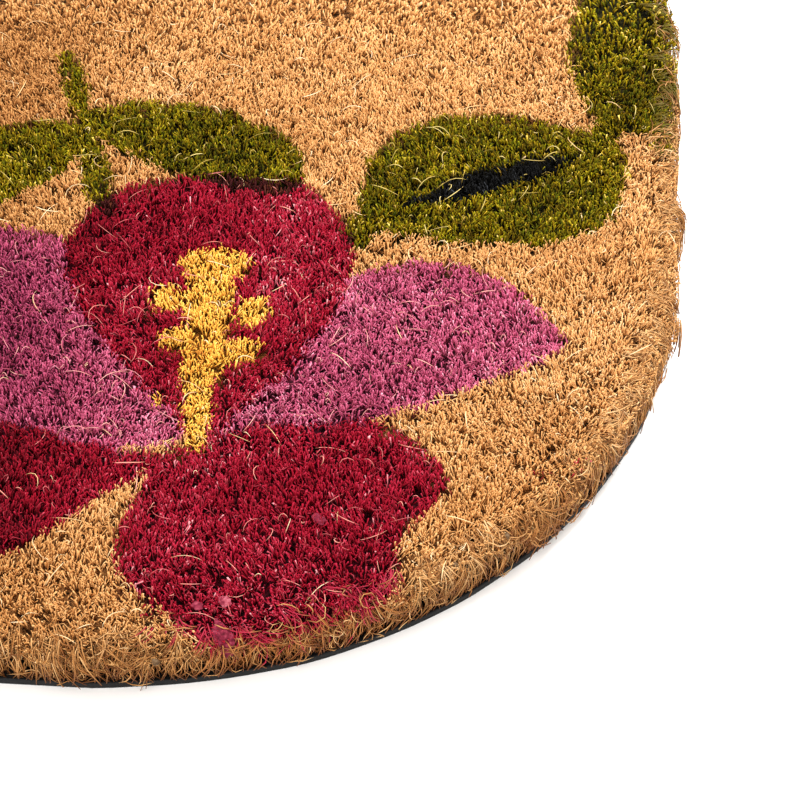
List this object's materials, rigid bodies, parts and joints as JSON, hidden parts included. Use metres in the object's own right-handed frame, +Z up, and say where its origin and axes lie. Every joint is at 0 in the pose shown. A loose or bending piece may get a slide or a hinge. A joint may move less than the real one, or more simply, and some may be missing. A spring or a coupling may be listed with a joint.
{
  "type": "doormat",
  "caption": "Flat doormat with round corners for wiping shoes: upright coir bristle pile printed with a flower and leaves, on a thin black backing sheet.",
  "frame": {"origin": "the middle of the mat's footprint, on the underside that rests on the floor", "axes": "+Z up through the pile; +X along the long side, towards the end that carries the flower; +Y from the front edge, where the flower is, towards the back edge"},
  "size_m": [0.6035, 0.4038, 0.0179],
  "materials": {
    "backing_sheet": "satin black soft plastic sheet, finely pebbled",
    "coir_natural": "undyed golden brown coir fibre, dry and matt with a faint sheen",
    "coir_crimson": "coir dyed crimson from above, matt",
    "coir_rose": "coir dyed rose from above, matt",
    "coir_yellow": "coir dyed yellow from above, matt",
    "coir_green": "coir dyed olive green from above, matt",
    "coir_dark": "coir dyed near black where the leaf vein is printed, matt"
  },
  "bodies": {
    "root": {"backing": "backing_sheet", "coir_pile": "coir_natural"}
  },
  "joints": []
}
